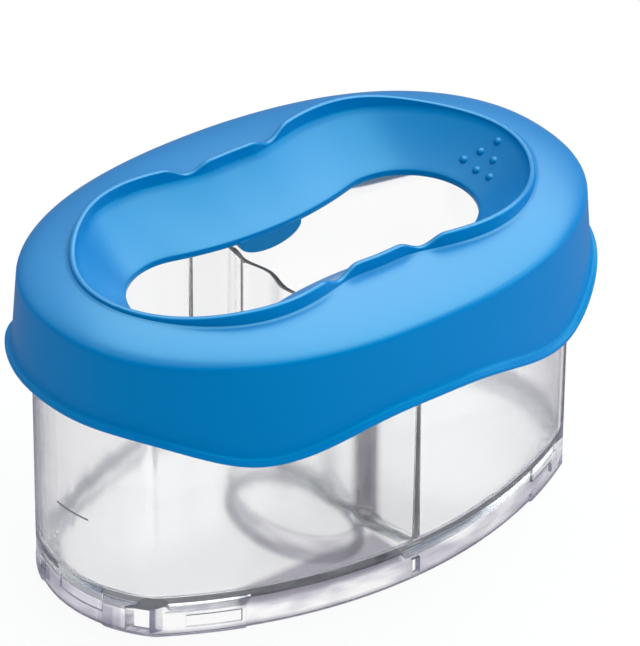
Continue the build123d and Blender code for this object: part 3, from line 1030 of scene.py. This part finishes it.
# %% The blue
tree, blue, shader = textured_plastic("blue_plastic", 2200, 0.28, 0.02, 0.12, 0.00002)
spot = add_node(tree, "TexCoord").outputs
facing = add_node(tree, "SeparateXYZ", {0: spot["Normal"]}).outputs["Z"]
level = add_node(tree, "SeparateXYZ", {0: spot["Object"]}).outputs["Z"]
upward = rise(tree, facing, 0.5, 0.92, top=0.6, kind="SMOOTHSTEP")
feed(tree, shader, {
    "Base Color": colour_ramp(tree, noise(tree, spot["Object"], 25, 2),
                              (0.3, (0.000, 0.190, 0.515)), (0.7, (0.000, 0.198, 0.535))),
    "Specular IOR Level": 0.5, "Specular Tint": (0.0, 1.0, 1.0), "Coat Roughness": 0.35, "Coat IOR": 1.75,
    "Coat Weight": reckon(tree, "MULTIPLY", upward, rise(tree, level, 0.052, 0.060))})
add_node(tree, "OutputMaterial", {"Surface": shader.outputs[0]})


def dress(pieces, material):
    """Gives each piece one material."""
    for piece in pieces:
        piece.data.materials.clear()
        piece.data.materials.append(material)


dress([lid_shell] + tongues + nubs + [frame["nodes"]["lid"]], blue)
print("blue on", len(tongues + nubs) + 1, "pieces")

# %% [markdown]
# ## Clear plastic
#
# The tank and its divider are clear polystyrene, polished inside and out.  What shows is mostly
# their edges: thick corners gather light and dark lines, flat walls nearly vanish.  Real
# refraction through the closed solids gives this, with a trace of violet-grey in the body.
#
# Moulded clear plastic looks dark where refraction gathers the dark room, and its foot meets the
# table in a thin shadow; here both are painted shade.  A node group paints them by place, one
# patch after another, each multiplied onto the shade so far.  A mask for a patch is a product of
# ramps along X, Y and Z.

# %% The painted shade, shared by the clear pieces
shade_group = bpy.data.node_groups.new("painted_shade", "ShaderNodeTree")
shade_group.interface.new_socket("Shade", in_out="OUTPUT", socket_type="NodeSocketColor")
where = add_node(shade_group, "TexCoord").outputs["Object"]
place = add_node(shade_group, "SeparateXYZ", {0: where}).outputs
along, across, height = place["X"], place["Y"], place["Z"]
end_distance, side_distance = reckon(shade_group, "ABSOLUTE", along), reckon(shade_group, "ABSOLUTE", across)


def product(*masks):
    """Where all the masks are 1."""
    result = masks[0]
    for mask in masks[1:]:
        result = reckon(shade_group, "MULTIPLY", result, mask)
    return result


def patched(shade, colour, *masks):
    """The shade so far, darkened to a colour where all the masks are 1."""
    return mixed(shade_group, product(*masks), shade, colour, "MULTIPLY")


# painted shade in the foot, where the thick plastic looks darker, laid on in random streaks
streak = add_node(shade_group, "Mapping", {"Vector": where})
streak.inputs["Scale"].default_value = (70, 70, 260)
foot_shade_streaks = rise(shade_group, noise(shade_group, streak.outputs["Vector"], 1.0, 2), 0.42, 0.62)
shade = patched((1.0, 1.0, 1.0), (0.55, 0.53, 0.60), foot_shade_streaks, rise(shade_group, height, 0.0062, 0.0054))
# painted contact shadow along the foot's lower edge, where it meets the table
shade = patched(shade, (0.42, 0.40, 0.46), rise(shade_group, height, 0.0010, 0.0003))
# painted shade in the sunk end windows and on the thick corner beside each end slot
end_face = product(rise(shade_group, end_distance, 0.050, 0.052), rise(shade_group, height, 0.0058, 0.0050))
shade = patched(shade, (0.72, 0.70, 0.76), end_face, rise(shade_group, side_distance, 0.0088, 0.0080))
shade = patched(shade, (0.50, 0.48, 0.55), end_face, rise(shade_group, side_distance, 0.0084, 0.0090),
                rise(shade_group, side_distance, 0.0128, 0.0122))
# painted shade along the thick edge of the floor, on the front's left half and the back's right half
two_quarters = rise(shade_group, reckon(shade_group, "MULTIPLY", along, across), 0.00002, 0.00004)
reach = product(rise(shade_group, end_distance, 0.0378, 0.0366), rise(shade_group, side_distance, 0.024, 0.025))
band = product(rise(shade_group, height, 0.0050, 0.0058), rise(shade_group, height, 0.0084, 0.0080))
shade = patched(shade, (0.29, 0.275, 0.33), two_quarters, reach, band)
# painted shade: an upright dark stripe where the divider's wave starts
level_place = add_node(shade_group, "CombineXYZ", {"X": along, "Y": across}).outputs[0]
stripe = add_node(shade_group, "VectorMath", {0: level_place}, operation="DISTANCE")
stripe.inputs[1].default_value = (0.0006, -0.0199, 0)
shade = patched(shade, (0.11, 0.105, 0.13), rise(shade_group, stripe.outputs["Value"], 0.0048, 0.0021),
                rise(shade_group, height, 0.0085, 0.0095))
feed(shade_group, shade_group.nodes.new("NodeGroupOutput"), {"Shade": shade})
print("flow marks with", len(shade_group.nodes), "nodes")

# %% [markdown]
# Where a face turns away from the eye the plastic is painted darker, from nearly clear to a
# violet-grey: painted shade that draws the rims and corners.  Plain glass casts a black shadow
# when caustics are few, so shadow rays pass through a Transparent shader instead, and so does a
# small share of all rays: it lifts the blackest joints.

# %% The clear plastic
CLEAR_BODY = (0.985, 0.985, 0.988)


def clear_plastic(name, roughness, turned_from, turned_to, dark, unbent):
    """Clear plastic, painted darker where its faces turn away, that lets the lamps shine through."""
    tree, material, shader = textured_plastic(name, 900, roughness, 0.02, 0.03, 0.00001)
    turned = add_node(tree, "LayerWeight", {"Blend": 0.5}).outputs["Facing"]
    edge_shade = colour_ramp(tree, turned, (turned_from, CLEAR_BODY), (turned_to, dark))
    shades = add_node(tree, "Group", {}, node_tree=shade_group).outputs["Shade"]
    feed(tree, shader, {"Transmission Weight": 1.0, "IOR": 1.49,
                        "Base Color": mixed(tree, 1.0, edge_shade, shades, "MULTIPLY")})
    straight = add_node(tree, "BsdfTransparent", {"Color": edge_shade})
    is_shadow = add_node(tree, "LightPath").outputs["Is Shadow Ray"]
    surface = mixed_shaders(tree, reckon(tree, "MAXIMUM", is_shadow, unbent), shader, straight)
    add_node(tree, "OutputMaterial", {"Surface": surface.outputs[0]})
    return material


clear_tank = clear_plastic("clear_plastic", 0.12, 0.45, 0.97, (0.80, 0.78, 0.84), 0.06)
clear_divider = clear_plastic("clear_plastic_divider", 0.06, 0.45, 0.85, (0.44, 0.425, 0.48), 0.03)
# painted shade: the ring's plastic is dark almost all over
dark_ring_plastic = clear_plastic("clear_plastic_ring_painted_shade", 0.25, 0.0, 0.2, (0.36, 0.34, 0.42), 0.0)
# painted shade: the fill marks' plastic is darker still
dark_mark_plastic = clear_plastic("clear_plastic_mark_painted_shade", 0.10, 0.0, 0.2, (0.22, 0.21, 0.25), 0.0)
dress([tank_wall, ring_web, frame["nodes"]["tank"]], clear_tank)
dress([divider_wall, frame["nodes"]["divider"]], clear_divider)
dress([ring_bead], dark_ring_plastic)
dress(fill_marks, dark_mark_plastic)
print(len(bpy.data.materials), "materials in the file")
